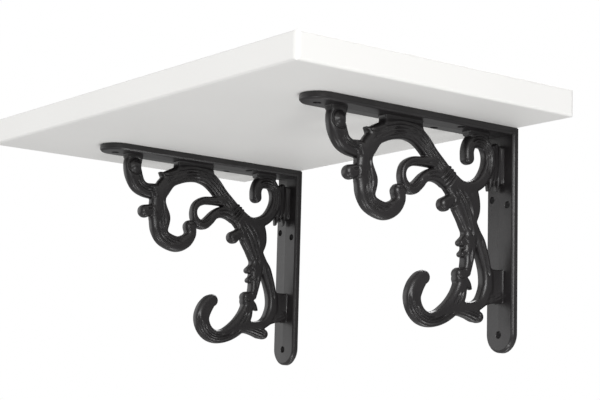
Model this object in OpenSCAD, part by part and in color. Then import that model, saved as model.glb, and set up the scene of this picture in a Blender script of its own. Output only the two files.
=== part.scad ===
// Wall shelf: a slab board on two cast scroll brackets, each with a coat hook.
// X runs along the wall, the wall plane is Y = 0, the front is -Y, +Z is up.
// The origin is on the board's back underside edge, midway between the brackets.

/* [Board] */
// Length of the board along the wall
board_w = 400; // [340:10:600]
// Depth of the board out from the wall
board_d = 250; // [200:5:300]
// Thickness of the board
board_t = 20; // [16:1:30]
// Radius of the board's vertical corners
corner_r = 4; // [3:1:10]
// Radius of the board's long edges
edge_r = 2; // [1:0.5:4]

/* [Brackets] */
// Distance between the two bracket centres
spacing = 260; // [180:10:300]
// Length of the leg under the board
reach = 190; // [180:5:200]
// Length of the leg on the wall
drop = 165; // [155:5:180]
// Width of both legs
strap_w = 28; // [26:1:32]
// Thickness of both legs at the flat of the face
strap_t = 5.5; // [5:0.5:7]
// Thickness of the scroll and the hook
scroll_t = 10; // [8:1:12]
// Diameter of the three wall holes
wall_hole = 5.2; // [4.4:0.2:6]

/* [Screws] */
// Outer diameter of the screw heads and their seats
head_d = 5.8; // [5:0.2:6.4]
// Diameter of the screw shanks
shank_d = 3.2; // [2.8:0.2:3.6]
// Length of the screws under the head face
screw_l = 16; // [14:1:18]

/* [Hidden] */
ridge = 0.5;
bevel = 1.5;
seat_z = 4.7;
cone_h = 1;
carve = 1.2;
sa = reach / 190;
sb = drop / 165;
half = strap_w / 2;
hole_x = strap_w * 2 / 7;
root_w = scroll_t + 4;
button_d = 10;
button_rise = 1.3;
upper_left_z = 52 * sb;
upper_right_z = 57 * sb;
lower_z = drop - 13;
front_y = reach - 12;
outer_y = 64 * sa;
inner_y = 52 * sa;
$fn = 48;

// Where the three shelf holes sit on one bracket: [x, distance from the wall]
shelf_holes = [[0, front_y], [-hole_x, outer_y], [hole_x, inner_y]];
// Where the three wall holes sit on one bracket: [x, distance below the board]
wall_holes = [[-hole_x, upper_left_z], [hole_x, upper_right_z], [0, lower_z]];

// Middle of the button on the front volute: [distance from the wall, distance below the board]
button = [160.5 * sa, 14.8 * sb];
// Webs to each leg: [from, to, how far out of the leg's back]
shelf_roots = [[154, 168.5, 9], [85, 120, 11], [19.5, 40.5, 9.5]];
wall_roots = [[13, 42, 8], [105, 129, 17]];

// Scroll strokes. Each point is [distance from the wall, distance below the board, width].
front_volute = [[161, 9, 15], [161.5, 15, 15.5], [160, 22, 15], [156, 29, 13.5],
    [149.5, 32.5, 12], [141, 33, 13]];
front_leaf = [[115, 14.5, 12], [121.5, 17, 11.5], [126.5, 18.4, 10], [131, 18.6, 7], [135, 17, 2]];
great_scroll = [[90, 14.5, 14], [100, 13.5, 14], [109, 14.5, 14], [118, 17.5, 13.5],
    [126, 22, 13], [132, 29, 14], [136, 37, 13.5], [136, 47, 16], [134.5, 55, 18],
    [134.5, 63, 14.5], [129.5, 70, 13.5], [118, 73.5, 13], [109, 70.5, 11.5],
    [104, 64.5, 9.5], [104.5, 58, 11]];
inner_lobe = [[132, 44, 6], [128.5, 52, 7], [128, 59, 5], [127.5, 64.5, 1.5]];
front_bud = [[140, 49, 9], [144.5, 48.7, 9.4], [148.6, 49.9, 10.6]];
bundle = [[96, 13, 14], [89, 15.8, 14], [82, 20.5, 13.5], [75, 27.5, 12.5], [68, 34, 13],
    [61, 40.5, 14], [55, 46, 15]];
eye_loop = [[74, 33, 9], [84, 34, 7], [92, 35, 6.7], [98.5, 38.5, 6], [101.3, 44, 5.3],
    [100.5, 50, 6], [96.5, 54.3, 7.5], [91, 54.5, 8.5], [86, 50.5, 8.5], [81, 45.5, 8],
    [74, 42.5, 9.5], [67, 42.5, 11], [61, 45, 11]];
stem = [[58, 43, 14], [53, 48, 16], [47.5, 54, 19], [43, 60, 22], [40.5, 66, 20],
    [38.5, 73, 15.5], [36.5, 80, 12.5], [37, 88, 12.5], [37.5, 96, 10.5], [38.5, 103, 8.5],
    [40.5, 109, 8], [46, 111, 9.6]];
stem_lobe = [[34.5, 50, 10], [33.2, 57, 11.4], [33.2, 64, 11.4], [35, 71, 9]];
stem_bud = [[52, 58, 9], [57, 59.5, 8.8], [61.2, 62.3, 10.4]];
rear_scroll = [[52, 46, 12], [46, 48, 11], [40, 48, 10], [33, 46, 9.5], [26.5, 42, 9.5],
    [21.5, 35.5, 9.5], [18.8, 28, 9], [19, 20, 9], [22.5, 13.5, 9.5], [29, 11.5, 11],
    [35.5, 13.5, 10.5], [38.7, 19.5, 9.4], [38.7, 26, 9.4]];
leaf_rib_one = [[8, 15, 4], [8, 25, 5.4], [8.6, 36, 4.8], [9.4, 46.5, 1.5]];
leaf_rib_two = [[11.5, 13.5, 4.5], [11.7, 25, 5.4], [12.4, 35, 4.8], [13.2, 43.5, 1.5]];
leaf_rib_three = [[14.5, 15, 4.5], [15, 27, 5.6], [16.2, 38, 4.8], [17.6, 47, 1.5]];
tooth_one = [[37.5, 84.5, 7], [41.5, 86.4, 6.6], [44.7, 88.4, 5.4]];
tooth_two = [[38, 93.6, 6], [41.2, 95, 5.4], [43.7, 96.6, 4.6]];
branch = [[33, 75, 7], [30, 81, 8], [27, 86.5, 10], [24.5, 93, 10], [22, 100, 9.5],
    [20.3, 107, 8.8], [19.5, 115, 9], [20.5, 122, 10], [24.5, 129, 9], [31, 134, 8]];
hook = [[44, 112, 7], [44.5, 118, 10], [47, 127, 13.5], [52.5, 134.5, 14],
    [60, 140.5, 13], [68, 144.5, 11.5], [76, 145.8, 11], [83, 143.5, 12], [88, 138, 13],
    [89.8, 131, 13.5], [87.5, 124, 13.5], [83.5, 118.5, 12], [80.5, 116.5, 10.5]];
thorn = [[46, 114.5, 9], [42.5, 116, 9], [39, 118, 7], [36.4, 119.7, 4], [34.8, 120.8, 1.8]];
foot = [[51, 137, 8], [43, 135.3, 9], [35, 133.6, 7], [27, 131.2, 6.2], [18, 127.5, 7],
    [9, 124.5, 8]];
tail = [[52, 136.5, 9], [45, 136.8, 8.6], [38, 137.9, 9.2], [32, 139.3, 10.4],
    [27.8, 140.5, 8.8]];

// Catmull-Rom blend through four points, t from 0 to 1 between p1 and p2
function blend(p0, p1, p2, p3, t) = (2 * p1 + (p2 - p0) * t
    + (2 * p0 - 5 * p1 + 4 * p2 - p3) * t * t
    + (3 * p1 - p0 - 3 * p2 + p3) * t * t * t) / 2;

// Every control point and one more in each gap, scaled to the leg lengths
function along(p) = let (m = len(p) - 1, s = min(sa, sb)) [
    for (i = [0:m - 1], j = [0:1])
        let (q = blend(p[max(i - 1, 0)], p[i], p[i + 1], p[min(i + 2, m)], j / 2))
            [q[0] * sa, q[1] * sb, q[2] * s],
    [p[m][0] * sa, p[m][1] * sb, p[m][2] * s]];

function flat(v) = [v[0], v[1]];
// Unit vector square to the stroke at point i
function side(q, i) = let (d = flat(q[min(i + 1, len(q) - 1)]) - flat(q[max(i - 1, 0)]))
    [-d[1], d[0]] / norm(d);

// A stroke of varying width with round ends in the plane of the scroll
module stroke(p) {
    q = along(p);
    m = len(q) - 1;
    polygon(concat([for (i = [0:m]) flat(q[i]) + side(q, i) * q[i][2] / 2],
        [for (i = [m:-1:0]) flat(q[i]) - side(q, i) * q[i][2] / 2]));
    for (e = [q[0], q[m]]) translate(flat(e)) circle(d = e[2], $fn = 20);
}

module scroll_strokes() {
    stroke(front_volute);
    stroke(front_leaf);
    stroke(great_scroll);
    stroke(inner_lobe);
    stroke(front_bud);
    stroke(bundle);
    stroke(eye_loop);
    stroke(stem);
    stroke(stem_lobe);
    stroke(stem_bud);
    stroke(rear_scroll);
    stroke(leaf_rib_one);
    stroke(leaf_rib_two);
    stroke(leaf_rib_three);
    stroke(tooth_one);
    stroke(tooth_two);
    stroke(branch);
    stroke(hook);
    stroke(thorn);
    stroke(foot);
    stroke(tail);
}

// Stands a flat [from the wall, below the board] drawing up, t thick about X = 0
module upright(t) {
    translate([-t / 2, 0, 0]) rotate([-90, 0, -90]) linear_extrude(height = t) children();
}

// The scroll: a body with small cast fillets and a raised face on each side
module scroll() {
    upright(scroll_t - 2) offset(r = -0.6, $fn = 12) offset(r = 0.6, $fn = 12) scroll_strokes();
    upright(scroll_t) offset(delta = -carve) scroll_strokes();
    upright(scroll_t + 2 * button_rise) translate(button) circle(d = button_d);
}

// Half of a leg's section: bevelled edge and a slight ridge on the centreline
function half_section() = [[0, 0], [half, 0], [half, strap_t - bevel],
    [half - bevel, strap_t], [0, strap_t + ridge]];
function section() = concat(half_section(), [[bevel - half, strap_t],
    [-half, strap_t - bevel], [-half, 0]]);

// One leg, l long with a round end, its back on Z = 0 and its face towards -Z
module leg(l) {
    rotate([90, 0, 0]) linear_extrude(height = l - half) mirror([0, 1]) polygon(section());
    translate([0, half - l, 0]) mirror([0, 0, 1]) rotate([0, 0, 180])
        rotate_extrude(angle = 180, $fn = 96) polygon(half_section());
}

// A web from the scroll to the leg, spreading where it meets the leg's face
module root(from, to, out) {
    rotate([90, 0, 0]) translate([0, 0, from]) linear_extrude(height = to - from)
        polygon([[-root_w / 2, -strap_t + 0.6], [root_w / 2, -strap_t + 0.6],
            [scroll_t / 2, -strap_t - 2], [scroll_t / 2, -out],
            [-scroll_t / 2, -out], [-scroll_t / 2, -strap_t - 2]]);
}

// Turns something under the shelf leg into the same thing on the wall leg
module on_wall() {
    rotate([90, 0, 0]) mirror([0, 0, 1]) children();
}

module shelf_hole() {
    translate([0, 0, -strap_t - 3]) cylinder(d = shank_d + 0.6, h = strap_t + 4);
    translate([0, 0, -seat_z]) cylinder(d1 = head_d, d2 = head_d - 2 * cone_h, h = cone_h);
    translate([0, 0, -strap_t - 3]) cylinder(d = head_d, h = strap_t + 3 - seat_z);
}

module bracket() {
    difference() {
        union() {
            leg(reach);
            on_wall() leg(drop);
            scroll();
            for (r = shelf_roots) root(r[0] * sa, r[1] * sa, r[2]);
            on_wall() for (r = wall_roots) root(r[0] * sb, r[1] * sb, r[2]);
        }
        for (h = shelf_holes) translate([h[0], -h[1], 0]) shelf_hole();
        for (h = wall_holes) {
            translate([h[0], 1, -h[1]]) rotate([90, 0, 0]) cylinder(d = wall_hole, h = strap_t + 3);
        }
    }
}

module rounded(w, h, r) {
    translate([r, 0]) square([w - 2 * r, h]);
    translate([0, r]) square([w, h - 2 * r]);
    for (x = [r, w - r], y = [r, h - r]) translate([x, y]) circle(r = r);
}

module shelf_board() {
    color([0.93, 0.93, 0.92]) difference() {
        intersection() {
            translate([-board_w / 2, -board_d, 0]) linear_extrude(height = board_t)
                rounded(board_w, board_d, corner_r);
            translate([-board_w / 2, 0, 0]) rotate([90, 0, 0])
                linear_extrude(height = board_d) rounded(board_w, board_t, edge_r);
            translate([-board_w / 2, -board_d, 0]) rotate([90, 0, 90])
                linear_extrude(height = board_w) rounded(board_d, board_t, edge_r);
        }
        for (x = [-spacing / 2, spacing / 2], h = shelf_holes) {
            translate([x + h[0], -h[1], -1]) cylinder(d = shank_d, h = screw_l - seat_z + 1);
        }
    }
}

module wood_screw(side, hole) {
    h = shelf_holes[hole];
    r = shank_d / 2;
    tip = screw_l - seat_z;
    color([0.13, 0.13, 0.13]) translate([side * spacing / 2 + h[0], -h[1], 0]) difference() {
        rotate_extrude() polygon([[0, -seat_z], [head_d / 2, -seat_z],
            [head_d / 2 - cone_h, cone_h - seat_z], [r, cone_h - seat_z], [r, tip - 3], [0, tip]]);
        for (a = [0, 90]) {
            rotate([0, 0, a]) translate([-1.6, -0.35, -seat_z - 1]) cube([3.2, 0.7, 1.8]);
        }
    }
}

module left_bracket() {
    color([0.16, 0.16, 0.17]) translate([-spacing / 2, 0, 0]) bracket();
}

module right_bracket() {
    color([0.16, 0.16, 0.17]) translate([spacing / 2, 0, 0]) bracket();
}

module left_front_screw() { wood_screw(-1, 0); }
module left_outer_screw() { wood_screw(-1, 1); }
module left_inner_screw() { wood_screw(-1, 2); }
module right_front_screw() { wood_screw(1, 0); }
module right_outer_screw() { wood_screw(1, 1); }
module right_inner_screw() { wood_screw(1, 2); }

shelf_board();
left_bracket();
right_bracket();
left_front_screw();
left_outer_screw();
left_inner_screw();
right_front_screw();
right_outer_screw();
right_inner_screw();
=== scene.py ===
"""The looks of a wall shelf: a white slab board on two black cast scroll brackets with coat hooks.

The board and the screws are near their CAD shapes. Each bracket is one casting: a bent strap, swept from
its section, and a scroll, which is the surface of a field made of strokes with carved flutes.
Shapes are worked out in millimetres in the bracket's own plane: a is the distance from the wall, b the
distance below the board, x the distance sideways from the scroll's middle. Blender itself is in metres.
"""

import math

import bmesh
import bpy
import numpy as np
from mathutils import Matrix, Vector


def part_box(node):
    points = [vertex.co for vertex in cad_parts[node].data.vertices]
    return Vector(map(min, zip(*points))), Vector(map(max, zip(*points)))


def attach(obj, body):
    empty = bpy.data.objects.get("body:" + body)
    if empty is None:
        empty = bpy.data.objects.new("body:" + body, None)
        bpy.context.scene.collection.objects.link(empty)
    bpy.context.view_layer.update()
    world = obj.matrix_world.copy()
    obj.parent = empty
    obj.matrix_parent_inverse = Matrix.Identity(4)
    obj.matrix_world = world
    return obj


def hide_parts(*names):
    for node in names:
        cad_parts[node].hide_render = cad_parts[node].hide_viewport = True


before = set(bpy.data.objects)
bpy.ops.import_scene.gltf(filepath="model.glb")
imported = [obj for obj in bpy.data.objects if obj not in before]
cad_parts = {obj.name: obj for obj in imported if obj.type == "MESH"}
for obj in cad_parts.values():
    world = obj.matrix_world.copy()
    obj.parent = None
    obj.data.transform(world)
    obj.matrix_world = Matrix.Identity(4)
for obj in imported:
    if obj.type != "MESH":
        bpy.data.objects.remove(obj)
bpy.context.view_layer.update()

MM = 0.001

# ---- sizes of the casting, in millimetres -------------------------------------------------------
REACH = -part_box("left_bracket")[0].y / MM
DROP = -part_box("left_bracket")[0].z / MM
HALF_W = (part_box("left_bracket")[1].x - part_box("left_bracket")[0].x) / MM / 2
HALF_T = 5.0            # half the thickness of a wide stroke
FULL_RADIUS = 4.2       # strokes narrower than this get thinner too
SECTION_POWER = 2.6     # 2 is an ellipse, higher is squarer
BLEND = 1.0             # how far two strokes melt into each other
CELL = 0.38      # grid step of the field
HALF_GRID = 7.4         # the grid reaches this far to each side of the scroll's middle
REACH_OF_FIELD = 2.5    # the field is not worked out further than this from a stroke
FLUTE_WIDTH = 0.75
FLUTE_DEPTH = 1.25
FLUTE_FADE_RADIUS = 4   # flutes and cuts get shallower on strokes thinner than this
TRIANGLES = 120000      # of one scroll

# Half of the strap's section, from the middle of its back round to the middle of its face
HALF_SECTION = [(0, 0), (13.4, 0), (14, 0.6), (14, 3.6), (13.9, 3.95), (13.65, 4.25), (12.8, 5.1),
                (12.5, 5.3), (12.1, 5.42), (0.5, 5.95), (0, 6)]

# ---- the scroll: each point is (a, b, width) ----------------------------------------------------
STROKES = {
    "front_volute": [(161, 9, 15), (161.5, 15, 15.5), (160, 22, 15), (156, 29, 13.5), (149.5, 32.5, 12),
                     (141, 33, 13)],
    "front_leaf": [(115, 14.5, 12), (121.5, 17, 11.5), (126.5, 18.4, 10), (131, 18.6, 7), (135, 17, 2)],
    "great_scroll": [(90, 14.5, 14), (100, 13.5, 14), (109, 14.5, 14), (118, 17.5, 13.5), (126, 22, 13),
                     (132, 29, 14), (136, 37, 13.5), (136, 47, 16), (134.5, 55, 18), (134.5, 63, 14.5),
                     (129.5, 70, 13.5), (118, 73.5, 13), (109, 70.5, 11.5), (104, 64.5, 9.5),
                     (104.5, 58, 11)],
    "inner_lobe": [(132, 44, 6), (128.5, 52, 7), (128, 59, 5), (127.5, 64.5, 1.5)],
    "front_bud": [(140, 49, 9), (144.5, 48.7, 9.4), (148.6, 49.9, 10.6)],
    "bundle": [(96, 13, 14), (89, 15.8, 14), (82, 20.5, 13.5), (75, 27.5, 12.5), (68, 34, 13),
               (61, 40.5, 14), (55, 46, 15)],
    "eye_loop": [(74, 33, 9), (84, 34, 7), (92, 35, 6.7), (98.5, 38.5, 6), (101.3, 44, 5.3),
                 (100.5, 50, 6), (96.5, 54.3, 7.5), (91, 54.5, 8.5), (86, 50.5, 8.5), (81, 45.5, 8),
                 (74, 42.5, 9.5), (67, 42.5, 11), (61, 45, 11)],
    "stem": [(58, 43, 14), (53, 48, 16), (47.5, 54, 19), (43, 60, 22), (40.5, 66, 20), (38.5, 73, 15.5),
             (36.5, 80, 12.5), (37, 88, 12.5), (37.5, 96, 10.5), (38.5, 103, 8.5), (40.5, 109, 8),
             (46, 111, 9.6)],
    "stem_lobe": [(34.5, 50, 10), (33.2, 57, 11.4), (33.2, 64, 11.4), (35, 71, 9)],
    "stem_bud": [(52, 58, 9), (57, 59.5, 8.8), (61.2, 62.3, 10.4)],
    "rear_scroll": [(52, 46, 12), (46, 48, 11), (40, 48, 10), (33, 46, 9.5), (26.5, 42, 9.5),
                    (21.5, 35.5, 9.5), (18.8, 28, 9), (19, 20, 9), (22.5, 13.5, 9.5), (29, 11.5, 11),
                    (35.5, 13.5, 10.5), (38.7, 19.5, 9.4), (38.7, 26, 9.4)],
    "leaf_rib_one": [(8, 15, 4), (8, 25, 5.4), (8.6, 36, 4.8), (9.4, 46.5, 1.5)],
    "leaf_rib_two": [(11.5, 13.5, 4.5), (11.7, 25, 5.4), (12.4, 35, 4.8), (13.2, 43.5, 1.5)],
    "leaf_rib_three": [(14.5, 15, 4.5), (15, 27, 5.6), (16.2, 38, 4.8), (17.6, 47, 1.5)],
    "tooth_one": [(37.5, 84.5, 7), (41.5, 86.4, 6.6), (44.7, 88.4, 5.4)],
    "tooth_two": [(38, 93.6, 6), (41.2, 95, 5.4), (43.7, 96.6, 4.6)],
    "branch": [(33, 75, 7), (30, 81, 8), (27, 86.5, 10), (24.5, 93, 10), (22, 100, 9.5),
               (20.3, 107, 8.8), (19.5, 115, 9), (20.5, 122, 10), (24.5, 129, 9), (31, 134, 8)],
    "hook": [(44, 112, 7), (44.5, 118, 10), (47, 127, 13.5), (52.5, 134.5, 14), (60, 140.5, 13),
             (68, 144.5, 11.5), (76, 145.8, 11), (83, 143.5, 12), (88, 138, 13), (89.8, 131, 13.5),
             (87.5, 124, 13.5), (83.5, 118.5, 12), (80.5, 116.5, 10.5)],
    "thorn": [(46, 114.5, 9), (42.5, 116, 9), (39, 118, 7), (36.4, 119.7, 4), (34.8, 120.8, 1.8)],
    "foot": [(51, 137, 8), (43, 135.3, 9), (35, 133.6, 7), (27, 131.2, 6.2), (18, 127.5, 7),
             (9, 124.5, 8)],
    "tail": [(52, 136.5, 9), (45, 136.8, 8.6), (38, 137.9, 9.2), (32, 139.3, 10.4), (27.8, 140.5, 8.8)],
}

# Flutes that run along a stroke: (side at the start, side at the end, from, to). A side goes from -1 to
# 1 across the stroke, and from and to are shares of its length.
FLUTES = {
    "front_volute": [(0.35, 0.35, 0.35, 1.0), (0.72, 0.68, 0.3, 0.95), (-0.05, 0.0, 0.45, 1.0)],
    "front_leaf": [(-0.1, 0.0, 0.2, 0.9)],
    "great_scroll": [(-0.55, -0.5, 0.0, 0.3), (-0.15, -0.1, 0.0, 0.36), (0.25, 0.25, 0.0, 0.3),
                     (0.6, 0.6, 0.0, 0.25), (0.72, 0.7, 0.4, 0.9), (0.42, 0.38, 0.42, 0.88),
                     (0.1, 0.06, 0.5, 0.84), (-0.24, -0.26, 0.58, 0.8)],
    "front_bud": [(-0.45, -0.2, 0.3, 0.85)],
    "bundle": [(-0.6, -0.6, 0.0, 0.76), (-0.22, -0.22, 0.0, 0.76), (0.18, 0.18, 0.0, 0.76),
               (0.58, 0.58, 0.0, 0.76)],
    "eye_loop": [(0.3, 0.3, 0.0, 0.3), (0.45, 0.45, 0.45, 0.72), (-0.3, -0.3, 0.75, 1.0),
                 (0.3, 0.3, 0.75, 1.0)],
    "stem": [(-0.45, -0.35, 0.1, 0.55), (-0.1, 0.1, 0.06, 0.62), (0.3, 0.35, 0.1, 0.5),
             (0.0, 0.0, 0.68, 0.86)],
    "rear_scroll": [(-0.55, -0.55, 0.45, 0.85), (-0.15, -0.15, 0.4, 0.88), (0.28, 0.28, 0.4, 0.84),
                    (0.62, 0.62, 0.5, 0.8)],
    "hook": [(0.72, 0.7, 0.34, 0.84), (0.4, 0.38, 0.28, 0.8), (0.06, 0.05, 0.36, 0.76),
             (-0.28, -0.28, 0.46, 0.72), (0.1, 0.2, 0.1, 0.28), (-0.3, -0.2, 0.12, 0.3)],
    "tail": [(-0.62, -0.62, 0.1, 0.95), (-0.2, -0.2, 0.15, 1.0), (0.22, 0.22, 0.15, 1.0),
             (0.64, 0.64, 0.1, 0.95)],
    "branch": [(0.0, 0.0, 0.15, 0.6)],
    "foot": [(0.2, 0.2, 0.5, 0.95)],
}

# Collars, small rings that stand out round a stroke: (share of its length, height)
COLLARS = {
    "bundle": [(0.825, 0.9), (0.88, 1.0), (0.935, 0.9)],
    "stem": [(0.925, 0.45)],
    "stem_bud": [(0.3, 0.35)],
    "eye_loop": [(0.52, 0.35)],
}

# Short carved lines of their own: points (a, b)
CUTS = [
    [(150, 31), (146, 34.5), (143.5, 39)],
    [(147, 29), (142.5, 32), (140.5, 36.5)],
    [(139.5, 20.5), (135.5, 22)],
    [(141, 24), (136.5, 25)],
    [(127, 57.5), (131, 60)],
    [(129, 53), (133.5, 56)],
    [(143.5, 44.5), (142.5, 49), (143.5, 53)],
    [(109.5, 53.5), (106, 56), (100.5, 55)],
    [(56.5, 54), (54, 58), (54.8, 62)],
    [(43.5, 106.5), (46, 107.8), (49.5, 107)],
    [(42.5, 113.5), (46, 114.2), (50, 112.5)],
    [(40.5, 88.2), (43.2, 86.6), (45.4, 87.8)],
    [(40.5, 95.8), (42.6, 94.7), (44.4, 95.9)],
    [(59.5, 34.5), (63.5, 39.3), (67.5, 44)],
    [(57.2, 36.6), (61, 41.4), (65, 46)],
    [(55, 38.8), (58.8, 43.4), (62.5, 48)],
    [(52.8, 41), (56.4, 45.5), (60, 50)],
    [(16, 123.5), (9, 121.5)],
    [(15, 127.5), (8.5, 125)],
    [(123, 10.5), (112, 7.8), (98, 7.6), (86, 8.4)],
    [(120, 13.5), (109, 11), (97, 10.6), (88, 12.5)],
    [(40, 9), (31, 7.6), (21, 9.5)],
]
CUT_WIDTH = 0.6
COLLAR_WIDTH = 0.85
CUT_DEPTH = 0.9

# A domed button on the front volute: a, b, radius, half its thickness
BUTTON = (160.5, 14.8, 5.2, 6.5)
RING = (6.3, 0.75, 1.2)      # the groove round it: radius, width, depth

# Webs that join the scroll to a leg: (leg, from, to, how far out of the leg's back)
WEBS = [("shelf", 154.5, 168, 8), ("shelf", 85, 120, 12), ("shelf", 20, 40, 9), ("wall", 15, 41, 7),
        ("wall", 105, 129, 17)]
WEB_START = 3.5         # a web begins inside the leg, this far from its back
WEB_ROOT = 5.6          # where the leg's face is
WEB_HALF_T = 4.1
WEB_BLEND = 1.8         # how far a web melts into the strokes
WEB_FLARE = 0.7         # how much a web spreads at the leg
WEB_FLARE_LENGTH = 0.7
WEB_END_ROUND = 1.0     # how round a web's outline is at its corners
WEB_SIDE_ROUND = 1.2    # the same, across its thickness

# Holes through the legs: (x, distance along the leg)
SHELF_HOLES = [(0, REACH - 12), (-8, 64), (8, 52)]
WALL_HOLES = [(-8, 52), (8, 57), (0, DROP - 13)]
# Half outlines of the holes: (radius, depth from the leg's back)
SHELF_HOLE = [(0, -1), (1.9, -1), (1.9, 3.7), (2.9, 4.7), (2.9, 5.4), (3.2, 5.85), (3.2, 9), (0, 9)]
WALL_HOLE = [(0, -1), (2.6, -1), (2.6, 5.5), (2.85, 5.9), (2.85, 9), (0, 9)]
# The part of each hole that is painted darker and duller than the casting, as painted shade: (radius
# that holds its wall, depth from the leg's back)
SHELF_SHADED_BORE = (3.0, 5.5)
WALL_SHADED_BORE = (2.7, 5.4)
STRAP_DEPTH = 6.02      # nothing of the strap is deeper than this from its back
SMOOTH_STRAP = 12       # faces of the strap that meet at less than this, in degrees, look smooth
SMOOTH_SCROLL = 50      # the same for the scroll


# ---- curves and fields --------------------------------------------------------------------------
def smooth_path(points, steps=8):
    """Points along a Catmull-Rom curve through the given ones, with their widths turned into radii."""
    p = np.array(points, float)
    p = np.vstack([p[:1], p, p[-1:]])
    t = np.arange(steps)[:, None] / steps
    pieces = []
    for i in range(1, len(p) - 2):
        p0, p1, p2, p3 = p[i - 1:i + 3]
        pieces.append((2 * p1 + (p2 - p0) * t + (2 * p0 - 5 * p1 + 4 * p2 - p3) * t ** 2
                       + (3 * p1 - p0 - 3 * p2 + p3) * t ** 3) / 2)
    curve = np.vstack([*pieces, p[-1:]])
    curve[:, 2] /= 2
    return curve


def nearest(curve, a, b):
    """The nearest point of a curve, for each (a, b): signed distance, radius there and length so far."""
    best = np.full(a.shape, np.inf)
    signed, radius, along = np.zeros(a.shape), np.ones(a.shape), np.zeros(a.shape)
    so_far = 0.0
    for p, q in zip(curve[:-1], curve[1:]):
        da, db, dr = q - p
        length = math.hypot(da, db)
        t = np.clip(((a - p[0]) * da + (b - p[1]) * db) / length ** 2, 0, 1)
        ea, eb = a - p[0] - t * da, b - p[1] - t * db
        square = ea * ea + eb * eb
        near = square < best
        best[near] = square[near]
        side = np.where(da * eb - db * ea < 0, -1.0, 1.0)
        signed[near] = (side * np.sqrt(square))[near]
        radius[near] = (p[2] + t * dr)[near]
        along[near] = (so_far + t * length)[near]
        so_far += length
    return signed, radius, along / so_far, so_far


def soft_min(f, g, k):
    h = np.maximum(k - np.abs(f - g), 0) / k
    return np.minimum(f, g) - h * h * k / 4


def soft_max(f, g, k):
    return -soft_min(-f, -g, k)


def fade(share, start, end, edge=0.06):
    """1 between two shares of a length, going to 0 outside them."""
    rise = np.clip((share - start) / edge, 0, 1)
    fall = np.clip((end - share) / edge, 0, 1)
    both = np.minimum(rise, fall)
    return both * both * (3 - 2 * both)


def superellipse(u, v):
    return (np.abs(u) ** SECTION_POWER + np.abs(v) ** SECTION_POWER) ** (1 / SECTION_POWER) - 1


def cut_depth(a, b):
    """How much the free carved lines take off each face, at each (a, b)."""
    radius, width, deepest = RING
    out = np.hypot(a - BUTTON[0], b - BUTTON[1])
    depth = deepest * np.exp(-((out - radius) / width) ** 2)
    for points in CUTS:
        curve = smooth_path([(*p, 1) for p in points], 5)
        away, _, share, _ = nearest(curve, a, b)
        taper = 0.35 + 0.65 * np.sin(np.pi * np.clip(share, 0, 1)) ** 0.5
        depth = np.maximum(depth, CUT_DEPTH * taper * np.exp(-(away / CUT_WIDTH) ** 2))
    return depth


def stroke_field(name, curve, x, a, b, cuts):
    """Negative inside a stroke, about the distance to its surface outside."""
    away, radius, share, length = nearest(curve, a, b)
    thick = HALF_T * np.minimum(1, np.sqrt(radius / FULL_RADIUS))
    for place, height in COLLARS.get(name, []):
        ring = height * np.exp(-((share - place) * length / COLLAR_WIDTH) ** 2)
        radius = radius + ring
        thick = thick + ring
    side = away / radius
    flutes = np.zeros(a.shape)
    for u0, u1, start, end in FLUTES.get(name, []):
        middle = (u0 + (u1 - u0) * share) * radius
        groove = np.exp(-((away - middle) / FLUTE_WIDTH) ** 2)
        flutes = np.maximum(flutes, FLUTE_DEPTH * groove * fade(share, start, end))
    thick = thick - np.maximum(flutes, cuts) * np.minimum(1, radius / FLUTE_FADE_RADIUS)
    return np.minimum(radius, thick) * superellipse(side, x / thick)


def button_field(x, a, b):
    ca, cb, radius, thick = BUTTON
    out = np.hypot(a - ca, b - cb)
    return radius * superellipse(out / radius, x / thick)


def web_field(web, x, a, b):
    leg, start, end, out = web
    along, depth = (a, b) if leg == "shelf" else (b, a)
    flare = WEB_FLARE * np.exp(-np.maximum(depth - WEB_ROOT, 0) / WEB_FLARE_LENGTH)
    sides = np.abs(along - (start + end) / 2) - (end - start) / 2 - flare
    caps = np.maximum(WEB_START - depth, depth - out)
    outline = soft_max(sides, caps, WEB_END_ROUND)
    return soft_max(outline, np.abs(x) - WEB_HALF_T - flare, WEB_SIDE_ROUND)


def boxes_of_field():
    """Every shape of the field: (function of x, a, b and cuts, low and high corner, blend)."""
    shapes = []
    for name, points in STROKES.items():
        curve = smooth_path(points)
        room = curve[:, 2:] + REACH_OF_FIELD
        low, high = (curve[:, :2] - room).min(0), (curve[:, :2] + room).max(0)
        shape = lambda x, a, b, c, n=name, k=curve: stroke_field(n, k, x, a, b, c)
        shapes.append((shape, low, high, BLEND))
    centre, room = np.array(BUTTON[:2]), BUTTON[2] + REACH_OF_FIELD
    shapes.append((lambda x, a, b, c: button_field(x, a, b), centre - room, centre + room, BLEND))
    for web in WEBS:
        leg, start, end, out = web
        room = WEB_FLARE + REACH_OF_FIELD
        low, high = np.array([start - room, 0.0]), np.array([end + room, out + room])
        if leg == "wall":
            low, high = low[::-1], high[::-1]
        shapes.append((lambda x, a, b, c, w=web: web_field(w, x, a, b), low, high, WEB_BLEND))
    return shapes


SHAPES = boxes_of_field()


def field_at(points):
    """The field at each of many (x, a, b)."""
    x, a, b = points.T
    cuts = cut_depth(a, b)
    total = np.full(len(points), REACH_OF_FIELD)
    for shape, low, high, blend in SHAPES:
        near = (a > low[0]) & (a < high[0]) & (b > low[1]) & (b < high[1])
        value = np.minimum(shape(x[near], a[near], b[near], cuts[near]), REACH_OF_FIELD)
        total[near] = soft_min(total[near], value, blend)
    return total


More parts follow.
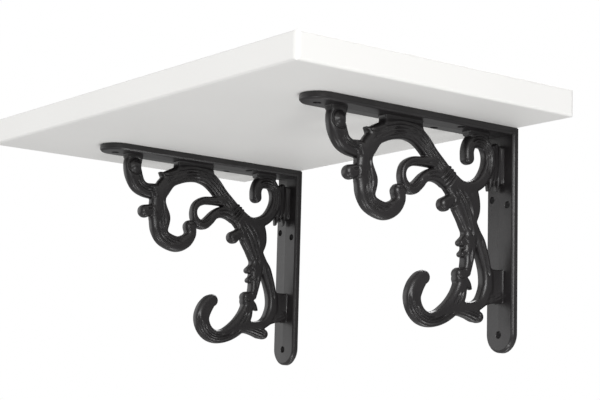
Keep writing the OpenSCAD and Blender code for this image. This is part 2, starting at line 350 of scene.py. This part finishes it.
def field_grid():
    """The field on a grid, with the grid's own lines."""
    steps = math.ceil(HALF_GRID / CELL)
    xs = np.arange(-steps, steps + 1) * CELL
    highest = np.max([high for _, _, high, _ in SHAPES], 0)
    a_line = np.arange(0, highest[0] + CELL, CELL)
    b_line = np.arange(0, highest[1] + CELL, CELL)
    a_all, b_all = np.meshgrid(a_line, b_line, indexing="ij")
    cuts = cut_depth(a_all, b_all)
    total = np.full((len(xs), *a_all.shape), REACH_OF_FIELD)
    for shape, low, high, blend in SHAPES:
        i0, i1 = np.searchsorted(a_line, [low[0], high[0]])
        j0, j1 = np.searchsorted(b_line, [low[1], high[1]])
        part = np.s_[i0:i1, j0:j1]
        value = shape(np.abs(xs)[:, None, None], a_all[part], b_all[part], cuts[part])
        spot = np.s_[:, i0:i1, j0:j1]
        total[spot] = soft_min(total[spot], np.minimum(value, REACH_OF_FIELD), blend)
    return total, (xs, a_line, b_line)


def surface_net(total):
    """The field's zero surface: vertices, in cells, one in each crossed cell, and four-sided faces."""
    shape = np.array(total.shape)
    inside = total < 0
    sums, quads = [], []
    for axis in range(3):
        low = np.moveaxis(inside, axis, 0)
        crossed = np.argwhere(np.moveaxis(low[:-1] != low[1:], 0, axis))
        step = np.eye(3, dtype=int)[axis]
        v0 = total[tuple(crossed.T)]
        v1 = total[tuple((crossed + step).T)]
        where = crossed + step * (v0 / (v0 - v1))[:, None]
        u, v = np.eye(3, dtype=int)[(axis + 1) % 3], np.eye(3, dtype=int)[(axis + 2) % 3]
        cells = [crossed - u - v, crossed - v, crossed, crossed - u]
        keys = [np.ravel_multi_index(tuple(c.T), shape) for c in cells]
        for key in keys:
            sums.append((key, where))
        quad = np.stack(keys, 1)
        outward = v0 < 0
        quad[~outward] = quad[~outward][:, ::-1]
        quads.append(quad)
    keys = np.concatenate([key for key, _ in sums])
    places = np.concatenate([where for _, where in sums])
    names, index = np.unique(keys, return_inverse=True)
    counts = np.bincount(index)
    vertices = np.stack([np.bincount(index, places[:, i]) / counts for i in range(3)], 1)
    faces = np.searchsorted(names, np.vstack(quads))
    return vertices, faces


def settle(points, rounds=2, eps=0.02, limit=0.35):
    """Moves points onto the field's zero surface."""
    for _ in range(rounds):
        value = field_at(points)
        slope = np.stack([(field_at(points + d) - value) / eps for d in np.eye(3) * eps], 1)
        step = value[:, None] * slope / np.maximum((slope ** 2).sum(1), 0.05)[:, None]
        size = np.linalg.norm(step, axis=1)
        points = points - step * np.minimum(1, limit / np.maximum(size, 1e-9))[:, None]
    return points


# ---- meshes -------------------------------------------------------------------------------------
def new_object(name, mesh):
    obj = bpy.data.objects.new(name, mesh)
    bpy.context.scene.collection.objects.link(obj)
    return obj


def from_bmesh(name, bm):
    bmesh.ops.recalc_face_normals(bm, faces=bm.faces)
    mesh = bpy.data.meshes.new(name)
    bm.to_mesh(mesh)
    bm.free()
    return mesh


def applied(obj, kind, **settings):
    """Applies one modifier to an object's mesh."""
    modifier = obj.modifiers.new(kind, kind)
    for name, value in settings.items():
        setattr(modifier, name, value)
    graph = bpy.context.evaluated_depsgraph_get()
    mesh = bpy.data.meshes.new_from_object(obj.evaluated_get(graph))
    obj.modifiers.clear()
    old, obj.data = obj.data, mesh
    bpy.data.meshes.remove(old)
    return obj


def combined(obj, other, operation):
    applied(obj, "BOOLEAN", operation=operation, solver="MANIFOLD", object=other)
    bpy.data.objects.remove(other)
    return obj


def scroll_object():
    total, lines = field_grid()
    vertices, faces = surface_net(total)
    origin = np.array([line[0] for line in lines])
    points = settle(origin + vertices * CELL)
    mesh = bpy.data.meshes.new("scroll")
    corners = np.stack([points[:, 0], -points[:, 1], -points[:, 2]], 1)
    mesh.from_pydata(corners.tolist(), [], faces.tolist())
    mesh.validate()
    obj = new_object("scroll", mesh)
    return applied(obj, "DECIMATE", ratio=TRIANGLES / (2 * len(faces)))


def strap_object():
    """The bent strap, back against the board and the wall, with round ends."""
    bm = bmesh.new()
    around = HALF_SECTION + [(-x, d) for x, d in HALF_SECTION[-2:0:-1]]
    rings = [[bm.verts.new((x, -(REACH - HALF_W), -d)) for x, d in around],
             [bm.verts.new((x, -d, -d)) for x, d in around],
             [bm.verts.new((x, -d, -(DROP - HALF_W))) for x, d in around]]
    count = len(around)
    for first, second in zip(rings, rings[1:]):
        for i in range(count):
            j = (i + 1) % count
            bm.faces.new((first[i], first[j], second[j], second[i]))
    steps = 40
    for ring, put in ((rings[0], lambda x, y, d: (x, -(REACH - HALF_W) - y, -d)),
                      (rings[2], lambda x, y, d: (x, -d, -(DROP - HALF_W) - y))):
        last = len(HALF_SECTION) - 1
        fans = [[ring[i] for i in range(last + 1)]]
        for k in range(1, steps):
            t = math.pi * k / steps
            fans.append([ring[0]] + [bm.verts.new(put(x * math.cos(t), x * math.sin(t), d))
                                     for x, d in HALF_SECTION[1:last]] + [ring[last]])
        fans.append([ring[0]] + [ring[count - i] for i in range(1, last)] + [ring[last]])
        for first, second in zip(fans, fans[1:]):
            for i in range(last):
                corners = [first[i], first[i + 1], second[i + 1], second[i]]
                bm.faces.new(list(dict.fromkeys(corners)))
    bm.verts.ensure_lookup_table()
    corner = [e for e in bm.edges if all(v.co.y > -0.01 and v.co.z > -0.01 for v in e.verts)]
    bmesh.ops.bevel(bm, geom=corner, offset=1.0, segments=3, profile=0.5, affect="EDGES")
    return new_object("strap", from_bmesh("strap", bm))


def turned_object(outline, place, steps=48):
    """A closed turned shape from a half outline (radius, depth), placed by place(x, y, depth)."""
    bm = bmesh.new()
    ends = [bm.verts.new(place(0, 0, outline[0][1])), bm.verts.new(place(0, 0, outline[-1][1]))]
    rings = []
    for k in range(steps):
        t = 2 * math.pi * k / steps
        cos, sin = math.cos(t), math.sin(t)
        rings.append([bm.verts.new(place(r * cos, r * sin, d)) for r, d in outline[1:-1]])
    for k in range(steps):
        one, two = rings[k], rings[(k + 1) % steps]
        bm.faces.new((ends[0], one[0], two[0]))
        bm.faces.new((ends[1], two[-1], one[-1]))
        for i in range(len(one) - 1):
            bm.faces.new((one[i], one[i + 1], two[i + 1], two[i]))
    return new_object("cutter", from_bmesh("cutter", bm))


def in_a_hole(p):
    """True for a point, in millimetres, on the wall of a screw hole."""
    radius, depth = SHELF_SHADED_BORE
    for x, along in SHELF_HOLES:
        if math.hypot(p.x - x, p.y + along) < radius and p.z > -depth:
            return True
    radius, depth = WALL_SHADED_BORE
    return any(math.hypot(p.x - x, p.z + along) < radius and p.y > -depth for x, along in WALL_HOLES)


def finish_casting(mesh):
    """Marks the strap's arrises sharp, gives the hole walls their own material slot, which carries
    painted shade, and goes to metres.
    """
    bm = bmesh.new()
    bm.from_mesh(mesh)
    flat = {}
    for face in bm.faces:
        face.smooth = True
        middle = face.calc_center_median()
        flat[face.index] = middle.z > -STRAP_DEPTH or middle.y > -STRAP_DEPTH
        # hole walls take slot 1, the bore material with painted shade
        face.material_index = 1 if flat[face.index] and in_a_hole(middle) else 0
    for edge in bm.edges:
        if len(edge.link_faces) == 2:
            one, two = edge.link_faces
            limit = math.radians(SMOOTH_STRAP if flat[one.index] and flat[two.index] else SMOOTH_SCROLL)
            edge.smooth = edge.calc_face_angle(0) < limit
    bmesh.ops.scale(bm, vec=(MM, MM, MM), verts=bm.verts)
    bm.to_mesh(mesh)
    bm.free()
    return mesh


def casting_mesh():
    obj = combined(strap_object(), scroll_object(), "UNION")
    for x, along in SHELF_HOLES:
        cutter = turned_object(SHELF_HOLE, lambda u, v, d, x=x, s=along: (x + u, v - s, -d))
        combined(obj, cutter, "DIFFERENCE")
    for x, along in WALL_HOLES:
        cutter = turned_object(WALL_HOLE, lambda u, v, d, x=x, s=along: (x + u, -d, v - s))
        combined(obj, cutter, "DIFFERENCE")
    mesh = obj.data
    bpy.data.objects.remove(obj)
    mesh.name = "casting"
    return finish_casting(mesh)


# ---- materials ----------------------------------------------------------------------------------
def material(name):
    made = bpy.data.materials.new(name)
    made.use_nodes = True
    return made, made.node_tree.nodes, made.node_tree.links, made.node_tree.nodes["Principled BSDF"]


def noise(nodes, links, scale, detail, place):
    made = nodes.new("ShaderNodeTexNoise")
    made.inputs["Scale"].default_value = scale
    made.inputs["Detail"].default_value = detail
    links.new(place.outputs["Object"], made.inputs["Vector"])
    return made


def ramp(nodes, links, source, stops):
    made = nodes.new("ShaderNodeValToRGB")
    for i, (position, colour) in enumerate(stops):
        element = made.color_ramp.elements[i] if i < 2 else made.color_ramp.elements.new(position)
        element.position = position
        element.color = (*colour, 1)
    links.new(source, made.inputs["Fac"])
    return made


def bump(nodes, links, source, strength, distance, under=None):
    made = nodes.new("ShaderNodeBump")
    made.inputs["Strength"].default_value = strength
    made.inputs["Distance"].default_value = distance
    links.new(source, made.inputs["Height"])
    if under is not None:
        links.new(under.outputs["Normal"], made.inputs["Normal"])
    return made


def grey(value):
    return (value, value, value)


def cast_black():
    """Satin black paint on sand-cast iron: slightly uneven, a little warm, smoother where it pooled."""
    made, nodes, links, shader = material("black_casting")
    place = nodes.new("ShaderNodeTexCoord")
    broad = noise(nodes, links, 45, 3, place)
    sand = noise(nodes, links, 900, 4, place)
    colour = ramp(nodes, links, broad.outputs["Fac"], [(0.3, (0.012, 0.0107, 0.0113)),
                                                       (0.7, (0.020, 0.0182, 0.0190))])
    rough = ramp(nodes, links, sand.outputs["Fac"], [(0.35, grey(0.29)), (0.7, grey(0.37))])
    waves = bump(nodes, links, broad.outputs["Fac"], 0.5, 0.0006)
    grain = bump(nodes, links, sand.outputs["Fac"], 0.22, 0.0001, waves)
    links.new(colour.outputs["Color"], shader.inputs["Base Color"])
    links.new(rough.outputs["Color"], shader.inputs["Roughness"])
    links.new(grain.outputs["Normal"], shader.inputs["Normal"])
    return made


def painted_shade_bore():
    """The walls of the screw holes, darker and duller than the casting: painted shade in the holes."""
    made, nodes, links, shader = material("bore_painted_shade")
    place = nodes.new("ShaderNodeTexCoord")
    sand = noise(nodes, links, 1200, 3, place)
    # painted shade: a much darker, duller black than the casting's paint
    colour = ramp(nodes, links, sand.outputs["Fac"], [(0.3, grey(0.004)), (0.7, grey(0.009))])
    rough = ramp(nodes, links, sand.outputs["Fac"], [(0.3, grey(0.75)), (0.7, grey(0.9))])
    grain = bump(nodes, links, sand.outputs["Fac"], 0.4, 0.0001)
    links.new(colour.outputs["Color"], shader.inputs["Base Color"])
    links.new(rough.outputs["Color"], shader.inputs["Roughness"])
    links.new(grain.outputs["Normal"], shader.inputs["Normal"])
    shader.inputs["Specular IOR Level"].default_value = 0.15
    return made


def screw_black():
    made, nodes, links, shader = material("black_screw")
    place = nodes.new("ShaderNodeTexCoord")
    fine = noise(nodes, links, 1500, 3, place)
    colour = ramp(nodes, links, fine.outputs["Fac"], [(0.3, grey(0.008)), (0.7, grey(0.014))])
    rough = ramp(nodes, links, fine.outputs["Fac"], [(0.3, grey(0.38)), (0.7, grey(0.55))])
    grain = bump(nodes, links, fine.outputs["Fac"], 0.3, 0.00005)
    links.new(colour.outputs["Color"], shader.inputs["Base Color"])
    links.new(rough.outputs["Color"], shader.inputs["Roughness"])
    links.new(grain.outputs["Normal"], shader.inputs["Normal"])
    return made


def white_board():
    """Matt white lacquer over board: a faint roller texture and hardly any change of tone."""
    made, nodes, links, shader = material("white_board")
    place = nodes.new("ShaderNodeTexCoord")
    broad = noise(nodes, links, 9, 2, place)
    fine = noise(nodes, links, 700, 3, place)
    colour = ramp(nodes, links, broad.outputs["Fac"], [(0.3, (0.872, 0.866, 0.848)),
                                                       (0.7, (0.890, 0.884, 0.866))])
    rough = ramp(nodes, links, fine.outputs["Fac"], [(0.3, grey(0.48)), (0.7, grey(0.58))])
    peel = bump(nodes, links, fine.outputs["Fac"], 0.15, 0.00008)
    links.new(colour.outputs["Color"], shader.inputs["Base Color"])
    links.new(rough.outputs["Color"], shader.inputs["Roughness"])
    links.new(peel.outputs["Normal"], shader.inputs["Normal"])
    return made


def pale_floor():
    made, nodes, links, shader = material("pale_floor")
    place = nodes.new("ShaderNodeTexCoord")
    broad = noise(nodes, links, 2, 2, place)
    colour = ramp(nodes, links, broad.outputs["Fac"], [(0.3, grey(0.30)), (0.7, grey(0.31))])
    links.new(colour.outputs["Color"], shader.inputs["Base Color"])
    shader.inputs["Roughness"].default_value = 0.9
    shader.inputs["Emission Color"].default_value = (1, 1, 1, 1)
    shader.inputs["Emission Strength"].default_value = 0.42
    return made


# ---- the object ---------------------------------------------------------------------------------
def build_brackets():
    mesh = casting_mesh()
    mesh.materials.clear()
    mesh.materials.append(cast_black())
    # the second slot is the hole walls' painted shade
    mesh.materials.append(painted_shade_bore())
    for side in ("left", "right"):
        low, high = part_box(side + "_bracket")
        casting = new_object(side + "_casting", mesh)
        casting.location.x = (low.x + high.x) / 2
        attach(casting, "root")
        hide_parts(side + "_bracket")


def dress_cad_nodes():
    board, screws = white_board(), screw_black()
    for name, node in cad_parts.items():
        if "bracket" not in name:
            node.data.materials.clear()
            node.data.materials.append(board if name == "shelf_board" else screws)


def set_stage():
    """A pale floor well below the object, which throws no light back at it: floor_glow does that."""
    bm = bmesh.new()
    bmesh.ops.create_circle(bm, cap_ends=True, segments=96, radius=9.0)
    floor = new_object("floor", from_bmesh("floor", bm))
    floor.location.z = -1.6
    floor.data.materials.append(pale_floor())
    floor.visible_diffuse = floor.visible_glossy = False


def area_light(name, place, target, size, power):
    """A square light that the camera itself doesn't see."""
    data = bpy.data.lights.new(name, "AREA")
    data.size = size
    data.energy = power
    light = new_object(name, data)
    light.visible_camera = False
    light.location = place
    light.rotation_euler = (Vector(target) - Vector(place)).to_track_quat("-Z", "Y").to_euler()


def set_light():
    """A white backdrop for the eye, a dim white room for the light, and soft panels round the object."""
    world = bpy.data.worlds.new("studio")
    world.use_nodes = True
    nodes, links = world.node_tree.nodes, world.node_tree.links
    room, backdrop = nodes["Background"], nodes.new("ShaderNodeBackground")
    room.inputs["Color"].default_value = (1, 1, 1, 1)
    room.inputs["Strength"].default_value = 0.3
    backdrop.inputs["Color"].default_value = (1, 1, 1, 1)
    backdrop.inputs["Strength"].default_value = 1.0
    seen, either = nodes.new("ShaderNodeLightPath"), nodes.new("ShaderNodeMixShader")
    links.new(seen.outputs["Is Camera Ray"], either.inputs["Fac"])
    links.new(room.outputs["Background"], either.inputs[1])
    links.new(backdrop.outputs["Background"], either.inputs[2])
    links.new(either.outputs["Shader"], nodes["World Output"].inputs["Surface"])
    bpy.context.scene.world = world
    middle = (0, -0.12, -0.05)
    area_light("left_panel", (-2.0, -1.9, 0.6), middle, 3.6, 49)
    area_light("right_panel", (2.3, -1.2, 0.65), middle, 1.4, 48)
    area_light("low_panel", (0.35, -0.75, -1.0), middle, 0.25, 2)
    area_light("rim_panel", (0.05, 0.25, -1.0), middle, 0.28, 1.6)
    area_light("edge_panel", (1.4, -0.25, -0.9), middle, 0.3, 3.5)
    area_light("top_panel", (-0.9, 1.3, 1.7), middle, 1.2, 32)
    area_light("floor_glow", (0, -0.3, -1.5), (0, -0.3, 0), 4, 11)


def set_camera():
    data = bpy.data.cameras.new("camera")
    data.sensor_width = 36
    data.lens = 104.1
    camera = new_object("camera", data)
    camera.location = (1.041, -0.8879, -0.256)
    azimuth, tilt, roll = math.radians(52.56), math.radians(9.0), math.radians(1.5)
    level = math.cos(tilt)
    look = Vector((-math.sin(azimuth) * level, math.cos(azimuth) * level, math.sin(tilt)))
    upright = look.to_track_quat("-Z", "Y").to_matrix()
    camera.rotation_euler = (upright @ Matrix.Rotation(roll, 3, "Z")).to_euler()
    bpy.context.scene.camera = camera
    bpy.context.scene.view_settings.view_transform = "Standard"


build_brackets()
dress_cad_nodes()
set_stage()
set_light()
set_camera()
